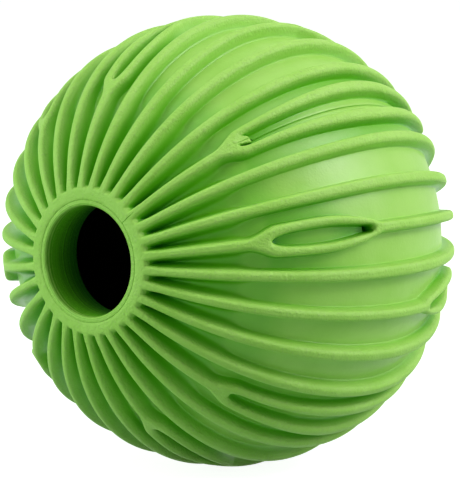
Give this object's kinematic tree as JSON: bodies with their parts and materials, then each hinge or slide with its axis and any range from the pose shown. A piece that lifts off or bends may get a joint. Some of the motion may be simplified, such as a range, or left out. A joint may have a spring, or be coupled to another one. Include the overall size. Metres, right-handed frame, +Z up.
{
  "type": "treat dispensing dog toy",
  "caption": "Hollow ribbed rubber ball with a round mouth on one side, filled with treats that fall out as a dog rolls or chews it.",
  "frame": {"origin": "centre of the ball, which is also the centre of its box", "axes": "+Z up as the ball lies on its ribs, -Y out of the mouth along the mouth's axis, +X to the right of someone who looks along +Y into the mouth"},
  "size_m": [0.08, 0.0762, 0.08],
  "materials": {
    "shell_rubber": "matte natural rubber with a fine grain on the rib crests",
    "sleeve_rubber": "matte natural rubber with fine turning lines round the bore"
  },
  "bodies": {
    "root": {"upper_half_shell": "shell_rubber", "lower_half_shell": "shell_rubber", "mouth_sleeve": "sleeve_rubber"}
  },
  "joints": []
}
